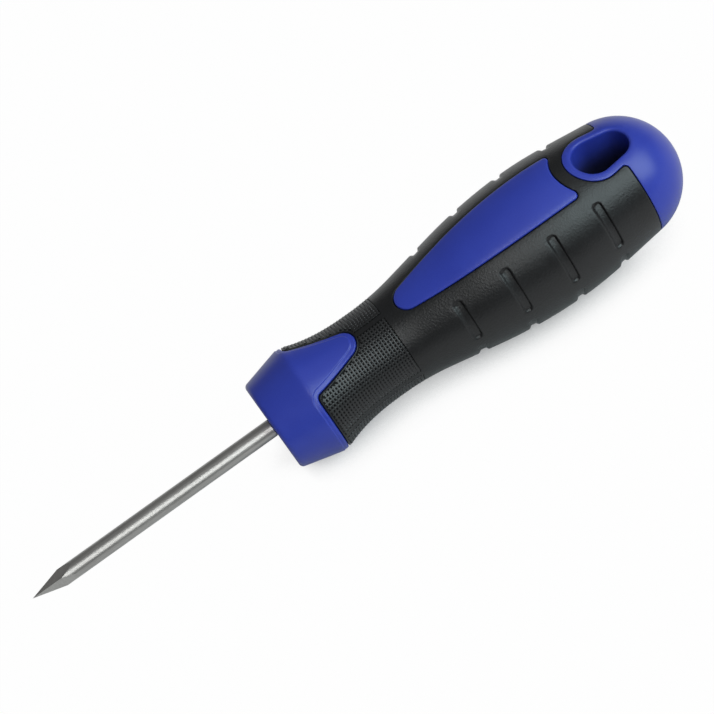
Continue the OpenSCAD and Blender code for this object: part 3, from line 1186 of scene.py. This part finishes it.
@dataclass
class EndCap:
    """Domed butt with the eye of the hanging hole, and the plug that holds it under the sleeve."""

    form: HandleForm
    seams: Seams
    finish: "Finish"
    plug_x: float = 75.9
    plug_inset: float = 2.1
    rim: EdgeRound = EdgeRound(1.0, 1.0)
    edge: EdgeRound = EdgeRound(0.2, 0.2)
    bore_rows: int = 14
    # Depth in millimetres at which the painted shade down the hanging hole is full
    painted_bore_shade: float = 11.0
    edge_end: float = 2.0
    hole_edge: float = 0.02
    end_edge: float = 10 * TINY
    curve_step: float = 0.05
    dome_rows: int = 300
    net_step: float = 0.7
    net_r: float = 12.0

    def build(self) -> bpy.types.Object:
        """Builds the cap with the hole right through it.

        Returns:
            The dressed piece.
        """
        curve, plan = self._curve(), self.seams.hole()
        eye, hole = curve.along(self.seams.eye()), self._on_surface(curve, plan)
        rows = [shift(eye, -gap, curve.radius) for gap in self.edge.rows()]
        rows += [self._on_surface(curve, shift(plan, gap, np.ones_like)) for gap in self.rim.rows()]
        net = Net(rows, (0.0, float(curve.run[-1])), self.net_step, self.net_r)
        middle = net.middles()
        under = inside(middle, np.concatenate([eye, [[0.0, QUARTER], [0.0, 0.0]]]))
        shown, plug = net.triangles[~under & ~inside(middle, hole)], net.triangles[under]
        u, turn = net.flat.T
        x, r = curve.reach(u), curve.radius(u)
        drop = self.edge.drop(distance(net.flat, eye, curve.radius)[0])
        spots = round_about(x, r - drop * (x < self.form.joint_x + self.edge_end), turn)
        gap = distance(spots[:, :2], plan, np.ones_like)[0]
        spots[:, 2] -= self.rim.drop(gap)
        solid = Solid()
        outer = solid.add(spots)
        inner = solid.add(round_about(x, np.maximum(r - self.plug_inset, 0), turn))
        solid.skin(shown, outer)
        solid.skin(plug, inner)
        rim = net.rim(shown)
        at_hole = (gap[rim] < self.hole_edge).all(1)
        at_pole = (net.flat[rim, 0] > net.ends[1] - self.end_edge).all(1)
        solid.wall(rim[~at_hole & ~at_pole], outer, inner)
        # The recess mark paints shade down the hanging hole, darker the deeper
        recess = [np.zeros(solid.count), *self._bore(solid, rim[at_hole], spots, outer), [0.0]]
        front = net.rim(plug)
        front = front[(net.flat[front, 0] < self.end_edge).all(1)]
        hub = solid.add(np.array([[self.plug_x, 0.0, 0.0]]))
        solid.faces += [[b + inner, a + inner, hub] for a, b in front.tolist()]
        mesh = solid.mesh("cap_body", ALL_QUARTERS, {Mark.RECESS: np.concatenate(recess)})
        return place("cap_body", mesh, self.finish, Slot.BLUE, "end_cap")

    def _bore(self, solid: Solid, rim: Array, spots: Array, upper: int) -> list[Array]:
        """Adds the wall of the hanging hole, row by row down to the middle of the tool.

        Args:
            solid: Mesh to add to.
            rim: Edges round the hole.
            spots: Places of the outer vertices.
            upper: Number of the first outer vertex.

        Returns:
            Painted shade of each new vertex, from 0 at the rim to 1 at painted_bore_shade millimetres down the
            hole.
        """
        recess = []
        for i in range(1, self.bore_rows + 1):
            lower = solid.add(spots * [1, 1, 1 - i / self.bore_rows])
            solid.wall(rim, upper, lower)
            upper = lower
            recess.append(smooth(0.0, self.painted_bore_shade, spots[:, 2] * i / self.bore_rows))
        return recess

    def _curve(self) -> Curve:
        """Works out the curve of the cap from the plug's front end to the butt.

        Returns:
            The curve.
        """
        form = self.form
        x = np.arange(self.plug_x, form.joint_x, self.curve_step)
        start = math.asin((form.joint_x - form.dome_x) / form.dome_r)
        angle = np.linspace(start, QUARTER, self.dome_rows)
        dome_x, dome_r = form.dome_x + form.dome_r * np.sin(angle), form.dome_r * np.cos(angle)
        return Curve(np.concatenate([x, dome_x]), np.concatenate([form.radius(x), dome_r]))

    @staticmethod
    def _on_surface(curve: Curve, plan: Array) -> Array:
        """Lays rows of [x, y], seen from above, onto the cap as rows of [run, turn]."""
        r = np.interp(plan[:, 0], curve.x, curve.r)
        return curve.along(np.stack([plan[:, 0], np.arcsin(plan[:, 1] / r)], 1))


# Finishes


class Value:
    """Number in a node tree. Maths on it is written as a Python expression and adds Math nodes."""

    def __init__(self, graph: "Graph", socket: Socket) -> None:
        """Wraps a socket of a graph."""
        self.graph, self.socket = graph, socket

    def _math(self, operation: str, *others: "Term") -> "Value":
        """Adds one Math node on this value and others."""
        node = self.graph.node("ShaderNodeMath", dict(enumerate((self, *others))), operation=operation)
        return Value(self.graph, node.outputs[0])

    def _after(self, operation: str, number: float) -> "Value":
        """Adds one Math node on a number and this value."""
        node = self.graph.node("ShaderNodeMath", {0: number, 1: self}, operation=operation)
        return Value(self.graph, node.outputs[0])

    __add__ = __radd__ = partialmethod(_math, "ADD")
    __mul__ = __rmul__ = partialmethod(_math, "MULTIPLY")
    __sub__, __rsub__ = partialmethod(_math, "SUBTRACT"), partialmethod(_after, "SUBTRACT")
    __truediv__, __rtruediv__ = partialmethod(_math, "DIVIDE"), partialmethod(_after, "DIVIDE")
    __pow__ = partialmethod(_math, "POWER")
    above = partialmethod(_math, "GREATER_THAN")
    sine, cosine = partialmethod(_math, "SINE"), partialmethod(_math, "COSINE")

    def between(self, low: float, high: float) -> "Value":
        """Eases from 0 at one value to 1 at another.

        Args:
            low: Value that gives 0.
            high: Value that gives 1.

        Returns:
            Number from 0 to 1.
        """
        ends = {"Value": self, "From Min": low, "From Max": high}
        node = self.graph.node("ShaderNodeMapRange", ends, interpolation_type="SMOOTHSTEP")
        return Value(self.graph, node.outputs[0])


Term = Value | float | int


class Graph:
    """Node tree that is built by naming nodes, their settings and what goes into them."""

    def __init__(self, tree: bpy.types.NodeTree) -> None:
        """Starts with an empty tree."""
        self.tree = tree
        tree.nodes.clear()

    def node(self, kind: str, inputs: dict | None = None, **settings: object) -> bpy.types.Node:
        """Adds one node.

        Args:
            kind: Type of the node.
            inputs: Values or links of its sockets, by name or number. A node stands for its first output.
            settings: Properties of the node, set first.

        Returns:
            The node.
        """
        node = self.tree.nodes.new(kind)
        for name, value in settings.items():
            setattr(node, name, value)
        for key, value in (inputs or {}).items():
            socket = node.inputs[key]
            if isinstance(value, Value):
                value = value.socket
            elif isinstance(value, bpy.types.Node):
                value = value.outputs[0]
            if isinstance(value, Socket):
                self.tree.links.new(value, socket)
            else:
                socket.default_value = value
        return node

    def noise(self, at: Socket, size: float, detail: float = 2.0) -> Value:
        """Soft noise.

        Args:
            at: Coordinates in metres.
            size: Size of its patches in millimetres.
            detail: Levels of finer noise in it.

        Returns:
            Number from 0 to 1.
        """
        node = self.node("ShaderNodeTexNoise", {"Vector": at, "Scale": 1 / (size * MM), "Detail": detail})
        return Value(self, node.outputs["Fac"])

    def shade(self, share: Value, low: "Colour", high: "Colour") -> Socket:
        """Mixes two colours.

        Args:
            share: Share of the second colour.
            low: First colour, or a socket that gives it.
            high: Second colour.

        Returns:
            Socket that gives the mix.
        """
        a, b = (c if isinstance(c, Socket) else (*c, 1) for c in (low, high))
        # Sockets 6 and 7 of the node take colours, and socket 2 gives their mix
        return self.node("ShaderNodeMix", {0: share, 6: a, 7: b}, data_type="RGBA").outputs[2]

    def axes(self, at: Socket | bpy.types.Node) -> list[Value]:
        """X, Y and Z of coordinates."""
        outputs = self.node("ShaderNodeSeparateXYZ", {0: at}).outputs
        return [Value(self, outputs[axis]) for axis in "XYZ"]


Colour = Triple | Socket


class Finish:
    """Procedural finish. It makes its material once and gives it to every piece that asks."""

    name: str

    def material(self) -> bpy.types.Material:
        """Gives the material of this finish, and makes it the first time.

        Returns:
            The material.
        """
        found = bpy.data.materials.get(self.name)
        if found is None:
            found = bpy.data.materials.new(self.name)
            found.use_nodes = True
            self.paint(Graph(found.node_tree))
        return found

    def paint(self, graph: Graph) -> None:
        """Builds the nodes of the material."""
        raise NotImplementedError

    @staticmethod
    def surface(graph: Graph, inputs: dict) -> None:
        """Ends a material in one principled surface with these inputs."""
        graph.node("ShaderNodeOutputMaterial", {"Surface": graph.node("ShaderNodeBsdfPrincipled", inputs)})


@dataclass(frozen=True)
class MouldedPlastic(Finish):
    """Hard or soft moulded plastic with a fine eroded grain, and painted shade in the recesses that its mesh
    marks.

    Attributes:
        name: Name of the material.
        shadow: Colour of its darker patches.
        light: Colour of its lighter patches.
        gloss: Roughness of its smoothest and its roughest patches.
        reflection: Specular level.
        grain: Size of the grain in millimetres.
        grain_depth: Depth of the grain in millimetres.
        painted_recess_shade: Strength of the painted shade that darkens its marked recesses towards black,
            which also makes them rougher.
        clouds: Size of the patches of colour and of gloss in millimetres.
        cloud_share: Part that the patches have in the colour, beside the grain.
        limits: Levels of the noise that give the two colours.
        grain_strength: Strength of the grain's bump.
    """

    name: str
    shadow: Triple
    light: Triple
    gloss: Pair
    reflection: float
    grain: float
    grain_depth: float
    painted_recess_shade: float = 0.85
    clouds: Pair = (9.0, 2.5)
    cloud_share: float = 0.55
    limits: Pair = (0.3, 0.7)
    grain_strength: float = 0.6

    def paint(self, graph: Graph) -> None:
        """Builds the nodes of the material.

        Args:
            graph: Empty tree of the material.
        """
        at = graph.node("ShaderNodeTexCoord").outputs["Object"]
        patches, sheen = (graph.noise(at, size) for size in self.clouds)
        grain = graph.noise(at, self.grain, detail=3.0)
        # Painted shade: the recess mark darkens the colour towards black under the knurl and down the hanging
        # hole
        mark = graph.node("ShaderNodeAttribute", attribute_name=Mark.RECESS.value)
        recess = Value(graph, mark.outputs["Fac"]) * self.painted_recess_shade
        mixed = patches * self.cloud_share + grain * (1 - self.cloud_share)
        colour = graph.shade(mixed.between(*self.limits), self.shadow, self.light)
        bump = graph.node("ShaderNodeBump", {
            "Strength": self.grain_strength, "Distance": self.grain_depth * MM, "Height": grain})
        low, high = self.gloss
        self.surface(graph, {
            "Base Color": graph.shade(recess, colour, (0.0, 0.0, 0.0)),
            "Roughness": low + (high - low) * sheen + (1 - high) * recess,
            "Specular IOR Level": self.reflection,
            "Normal": bump,
        })


@dataclass(frozen=True)
class GroundSteel(Finish):
    """Drawn steel bar with streaks along it, and finer marks across the ground flats of its point."""

    name: str = "ground_steel"
    shadow: Triple = (0.4, 0.393, 0.379)
    light: Triple = (0.5, 0.492, 0.475)
    gloss: Pair = (0.3, 0.42)
    flats: Pair = (-53.9, -50.7)
    drawn_w: float = 0.2
    drawn_scale: Triple = (0.012, 1, 1)
    cut_w: float = 0.12
    cut_scale: Triple = (1, 0.12, 0.12)
    cloud: float = 3.0
    colour_share: float = 0.7
    gloss_share: float = 0.6
    limits: Pair = (0.3, 0.7)
    mark_depth: float = 0.002
    mark_strength: float = 0.04

    def paint(self, graph: Graph) -> None:
        """Builds the nodes of the material.

        Args:
            graph: Empty tree of the material.
        """
        at = graph.node("ShaderNodeTexCoord").outputs["Object"]
        on_bar = (graph.axes(at)[0] / MM).between(*self.flats)
        drawn = graph.noise(self._stretched(graph, at, self.drawn_scale), self.drawn_w)
        cut = graph.noise(self._stretched(graph, at, self.cut_scale), self.cut_w, detail=3.0)
        marks = drawn * on_bar + cut * (1 - on_bar)
        cloud = graph.noise(at, self.cloud)
        parts = (self.colour_share, self.gloss_share)
        colour, gloss = (marks * part + cloud * (1 - part) for part in parts)
        low, high = self.gloss
        bump = graph.node("ShaderNodeBump", {
            "Strength": self.mark_strength, "Distance": self.mark_depth * MM, "Height": marks})
        self.surface(graph, {
            "Base Color": graph.shade(colour.between(*self.limits), self.shadow, self.light),
            "Metallic": 1.0,
            "Roughness": low + (high - low) * gloss,
            "Normal": bump,
        })

    @staticmethod
    def _stretched(graph: Graph, at: Socket, scale: Triple) -> Socket:
        """Coordinates drawn out along an axis."""
        return graph.node("ShaderNodeMapping", {"Vector": at, "Scale": scale}).outputs[0]


@dataclass(frozen=True)
class WhiteFloor(Finish):
    """White floor that glows white to the camera and paler in reflections; near the tool the glow fades, a
    painted shadow over the real shadow of its matt part.

    Attributes:
        name: Name of the material.
        greys: Levels of its paint.
        patches: Size of the paint's patches in millimetres.
        paint_limits: Levels of the noise that give the two greys.
        paint_share: Brightness to the camera where nothing is near.
        shadow_reach: How near the tool dims the floor's glow to the camera, a painted shadow, in millimetres.
        shadow_limits: Share of open sky that gives full shadow and none, to the camera.
        mirror_reach: The same as shadow_reach, in reflections.
        mirror_limits: The same as shadow_limits, in reflections.
        painted_mirror_levels: Brightness in reflections by the blade and by the butt, a painted shade that
            darkens the reflected floor towards the blade.
        mirror_span: X of these two places in millimetres.
        samples: Rays that look for the sky.
    """

    name: str = "white_floor"
    greys: Pair = (0.48, 0.52)
    patches: float = 60.0
    paint_limits: Pair = (0.2, 0.8)
    paint_share: float = 0.985
    shadow_reach: float = 12.0
    shadow_limits: Pair = (0.05, 0.6)
    mirror_reach: float = 90.0
    mirror_limits: Pair = (0.55, 1.0)
    painted_mirror_levels: Pair = (0.46, 0.66)
    mirror_span: Pair = (-40.0, 80.0)
    samples: int = 8

    def paint(self, graph: Graph) -> None:
        """Builds the nodes of the material.

        Args:
            graph: Empty tree of the material.
        """
        rays = graph.node("ShaderNodeLightPath").outputs
        kinds = ("Is Camera Ray", "Is Transmission Ray", "Is Glossy Ray")
        camera, glass, mirrored = (Value(graph, rays[kind]) for kind in kinds)
        straight = (camera + glass).above(0.5)
        at = graph.node("ShaderNodeTexCoord").outputs["Object"]
        grey = graph.noise(at, self.patches).between(*self.paint_limits)
        matt = graph.node("ShaderNodeBsdfDiffuse", {
            "Color": graph.shade(grey, (self.greys[0],) * 3, (self.greys[1],) * 3)})
        near, far = (self._clear(graph, reach) for reach in (self.shadow_reach, self.mirror_reach))
        low, high = self.painted_mirror_levels
        pale = low + (high - low) * (graph.axes(at)[0] / MM).between(*self.mirror_span)
        # Painted shadow: the glow fades where the tool hides the sky, and in reflections it fades further and
        # is painted darker towards the blade
        lit = straight * near.between(*self.shadow_limits)
        lit += mirrored * (1 - straight) * far.between(*self.mirror_limits) * pale
        glow = graph.node("ShaderNodeEmission", {"Color": (1, 1, 1, 1), "Strength": 1.0})
        both = graph.node("ShaderNodeMixShader", {0: lit * self.paint_share, 1: matt, 2: glow})
        graph.node("ShaderNodeOutputMaterial", {"Surface": both})

    def _clear(self, graph: Graph, reach: float) -> Value:
        """Share of the sky over the floor that nothing covers within a reach in millimetres."""
        node = graph.node("ShaderNodeAmbientOcclusion", {"Distance": reach * MM}, samples=self.samples)
        return Value(graph, node.outputs["AO"])


# Studio


@dataclass(frozen=True)
class Softbox:
    """Rectangular softbox that faces the tool.

    Attributes:
        name: Name of the lamp.
        back: How far it stands towards the butt, in degrees from square to the tool.
        turn: Its turn about the tool's axis, in degrees from straight above.
        span: Half its extent along the tool and round it, in degrees.
        level: How bright its face is, where 1 is white.
        away: Distance from the tool in metres.
        tint: Colour of its light.
        aim: X of the place on the tool's axis that it faces, in millimetres.
    """

    name: str
    back: float
    turn: float
    span: Pair
    level: float
    away: float = 0.9
    tint: Triple = (1.0, 1.0, 1.0)
    aim: float = 20.0

    def build(self) -> None:
        """Hangs the softbox."""
        turn, back = math.radians(self.turn), math.radians(self.back)
        way = Vector((math.sin(back), -math.cos(back) * math.sin(turn), math.cos(back) * math.cos(turn)))
        along = (Vector((1, 0, 0)) - way.x * way).normalized()
        lamp = bpy.data.lights.new(self.name, "AREA")
        lamp.shape = "RECTANGLE"
        lamp.size, lamp.size_y = (2 * self.away * math.tan(math.radians(a)) for a in self.span)
        lamp.energy = self.level * math.pi * lamp.size * lamp.size_y
        lamp.color = self.tint
        holder = bpy.data.objects.new(self.name, lamp)
        turned = Matrix((along, way.cross(along), way)).transposed().to_4x4()
        holder.matrix_world = Matrix.Translation(Vector((self.aim * MM, 0, 0)) + way * self.away) @ turned
        bpy.context.scene.collection.objects.link(holder)


@dataclass
class Studio:
    """Floor, light and camera.

    Attributes:
        form: Handle that lies on the floor.
        camera_away: Distance of the camera from the axis, in millimetres.
        camera_x: X of the camera in millimetres.
        camera_rise: Elevation of the look in degrees.
        camera_lean: Yaw, pitch and roll from a straight look at the axis, in degrees.
        lens: Focal length in pixels of the picture.
        picture: Width of the picture in pixels.
        sensor: Width of the sensor in millimetres.
        world_level: Brightness of the even light all round.
        lamps: Softboxes.
        rest_x: X of the place on the collar that lies on the floor, in millimetres.
        rest_r: Distance of that place from the axis.
        floor_half: Half the width of the floor in millimetres.
    """

    form: HandleForm
    camera_away: float = 524.7
    camera_x: float = 0.88
    camera_rise: float = 57.2
    camera_lean: Triple = (2.408, 0.188, 35.51)
    lens: float = 2502.5
    picture: float = 714.0
    sensor: float = 36.0
    world_level: float = 0.22
    lamps: tuple[Softbox, ...] = (
        Softbox("rear_softbox", back=36.5, turn=36.0, span=(26.5, 18.0), level=3.8, tint=(0.8, 0.97, 1.0)),
        Softbox("front_softbox", back=-4.2, turn=35.0, span=(3.4, 21.0), level=6.0, away=2.5),
        Softbox("overhead_softbox", back=25.0, turn=-5.0, span=(25.0, 25.0), level=0.3),
    )
    rest_x: float = 9.6
    rest_r: float = 12.78
    floor_half: float = 2500.0

    def build(self) -> None:
        """Sets up the floor, the world, the softboxes and the camera."""
        bpy.context.scene.view_settings.view_transform = "Standard"
        self._floor()
        self._world()
        for lamp in self.lamps:
            lamp.build()
        self._camera()

    def _floor(self) -> None:
        """Lays the floor against the belly and the collar, on which the tool rests."""
        belly_x, belly_r, half = self.form.belly_x, self.form.belly_d / 2, self.floor_half
        slope = (belly_r - self.rest_r) / (belly_x - self.rest_x)
        spread = ((-half, -half), (half, -half), (half, half), (-half, half))
        corners = [(x, y, -belly_r - slope * (x - belly_x)) for x, y in spread]
        mesh = bpy.data.meshes.new("floor")
        mesh.from_pydata((np.array(corners) * MM).tolist(), [], [[0, 1, 2, 3]])
        mesh.materials.append(WhiteFloor().material())
        floor = bpy.data.objects.new("floor", mesh)
        bpy.context.scene.collection.objects.link(floor)

    def _world(self) -> None:
        """Fills the studio with even light."""
        world = bpy.data.worlds.new("studio")
        world.use_nodes = True
        bpy.context.scene.world = world
        graph = Graph(world.node_tree)
        light = graph.node("ShaderNodeBackground", {"Color": (1, 1, 1, 1), "Strength": self.world_level})
        graph.node("ShaderNodeOutputWorld", {"Surface": light})

    def _camera(self) -> None:
        """Sets the camera at the photograph's angle."""
        rise = math.radians(self.camera_rise)
        yaw, pitch, roll = (math.radians(a) for a in self.camera_lean)
        look = Vector((0, math.cos(rise), -math.sin(rise)))
        right = Vector((1, 0, 0))
        look = (look + math.tan(yaw) * right + math.tan(pitch) * right.cross(look)).normalized()
        right = (right - right.dot(look) * look).normalized()
        up = right.cross(look)
        level = math.cos(roll) * right - math.sin(roll) * up
        rising = math.sin(roll) * right + math.cos(roll) * up
        away = self.camera_away
        spot = Vector((self.camera_x, -away * math.cos(rise), away * math.sin(rise)))
        data = bpy.data.cameras.new("camera")
        data.sensor_width = self.sensor
        data.lens = self.lens / self.picture * self.sensor
        camera = bpy.data.objects.new("camera", data)
        turned = Matrix((level, rising, -look)).transposed().to_4x4()
        camera.matrix_world = Matrix.Translation(spot * MM) @ turned
        bpy.context.scene.collection.objects.link(camera)
        bpy.context.scene.camera = camera


BLUE = MouldedPlastic(
    "satin_blue", shadow=(0.024, 0.042, 0.355), light=(0.029, 0.051, 0.395),
    gloss=(0.29, 0.37), reflection=0.43, grain=0.22, grain_depth=0.008)
BLACK = MouldedPlastic(
    "soft_black", shadow=(0.002, 0.0022, 0.0026), light=(0.006, 0.0064, 0.0074),
    gloss=(0.3, 0.38), reflection=0.46, grain=0.42, grain_depth=0.1)
# Black of the knurl: glossier than the grip, and lighter than it as a painted sheen on its ribs
KNURL_PAINTED_SHEEN = MouldedPlastic(
    "worn_black", shadow=(0.005, 0.0053, 0.006), light=(0.01, 0.0105, 0.0116),
    gloss=(0.29, 0.39), reflection=0.6, grain=0.3, grain_depth=0.05)
CORE = MouldedPlastic(
    "hard_core", shadow=(0.1, 0.1, 0.11), light=(0.13, 0.13, 0.14),
    gloss=(0.5, 0.65), reflection=0.5, grain=0.3, grain_depth=0.01)


def main() -> None:
    """Builds the tool from its point to its butt, then the studio."""
    logging.basicConfig(level=logging.INFO, format="%(name)s: %(message)s")
    form = HandleForm()
    seams = Seams(form)
    Blade(GroundSteel()).build()
    FrontCollar(form, seams, BLUE).build()
    sleeve = GripSleeve(form, seams, BLACK).build()
    Knurl(KNURL_PAINTED_SHEEN).build(sleeve)
    for side in Side:
        PanelInlay(form, seams, BLUE, side).build()
    EndCap(form, seams, BLUE).build()
    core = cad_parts["handle_core"]
    core.data.materials.clear()
    core.data.materials.append(CORE.material())
    Studio(form).build()


if __name__ == "__main__":
    main()
